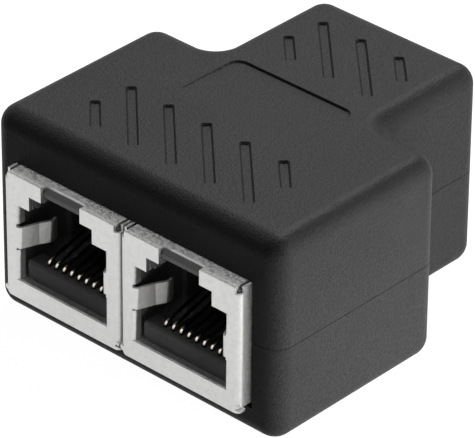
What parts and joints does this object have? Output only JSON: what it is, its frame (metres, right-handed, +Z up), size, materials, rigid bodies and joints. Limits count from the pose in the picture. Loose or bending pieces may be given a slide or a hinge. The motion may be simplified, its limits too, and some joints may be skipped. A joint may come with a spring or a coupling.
{
  "type": "telephone feedthrough connector",
  "caption": "T-shaped black moulded adapter with side-by-side shielded modular sockets in front and a matching socket behind.",
  "frame": {"origin": "on the resting plane under the middle of the overall width and length", "axes": "+X across the two front sockets, +Y from the front sockets to the rear socket, +Z up"},
  "size_m": [0.0382, 0.0428, 0.0228],
  "materials": {
    "housing_plastic": "fine spark-eroded grain",
    "shield_metal": "nickel-plated sheet",
    "insert_plastic": "smooth moulded",
    "contact_gold": "gold-plated",
    "board_laminate": "solder mask"
  },
  "bodies": {
    "root": {"upper_shell": "housing_plastic", "lower_shell": "housing_plastic", "circuit_board": "board_laminate", "left_shield": "shield_metal", "left_insert": "insert_plastic", "left_carrier": "insert_plastic", "left_contact_1": "contact_gold", "left_contact_2": "contact_gold", "left_contact_3": "contact_gold", "left_contact_4": "contact_gold", "left_contact_5": "contact_gold", "left_contact_6": "contact_gold", "left_contact_7": "contact_gold", "left_contact_8": "contact_gold", "right_shield": "shield_metal", "right_insert": "insert_plastic", "right_carrier": "insert_plastic", "right_contact_1": "contact_gold", "right_contact_2": "contact_gold", "right_contact_3": "contact_gold", "right_contact_4": "contact_gold", "right_contact_5": "contact_gold", "right_contact_6": "contact_gold", "right_contact_7": "contact_gold", "right_contact_8": "contact_gold", "rear_shield": "shield_metal", "rear_insert": "insert_plastic", "rear_carrier": "insert_plastic", "rear_contact_1": "contact_gold", "rear_contact_2": "contact_gold", "rear_contact_3": "contact_gold", "rear_contact_4": "contact_gold", "rear_contact_5": "contact_gold", "rear_contact_6": "contact_gold", "rear_contact_7": "contact_gold", "rear_contact_8": "contact_gold"}
  },
  "joints": []
}
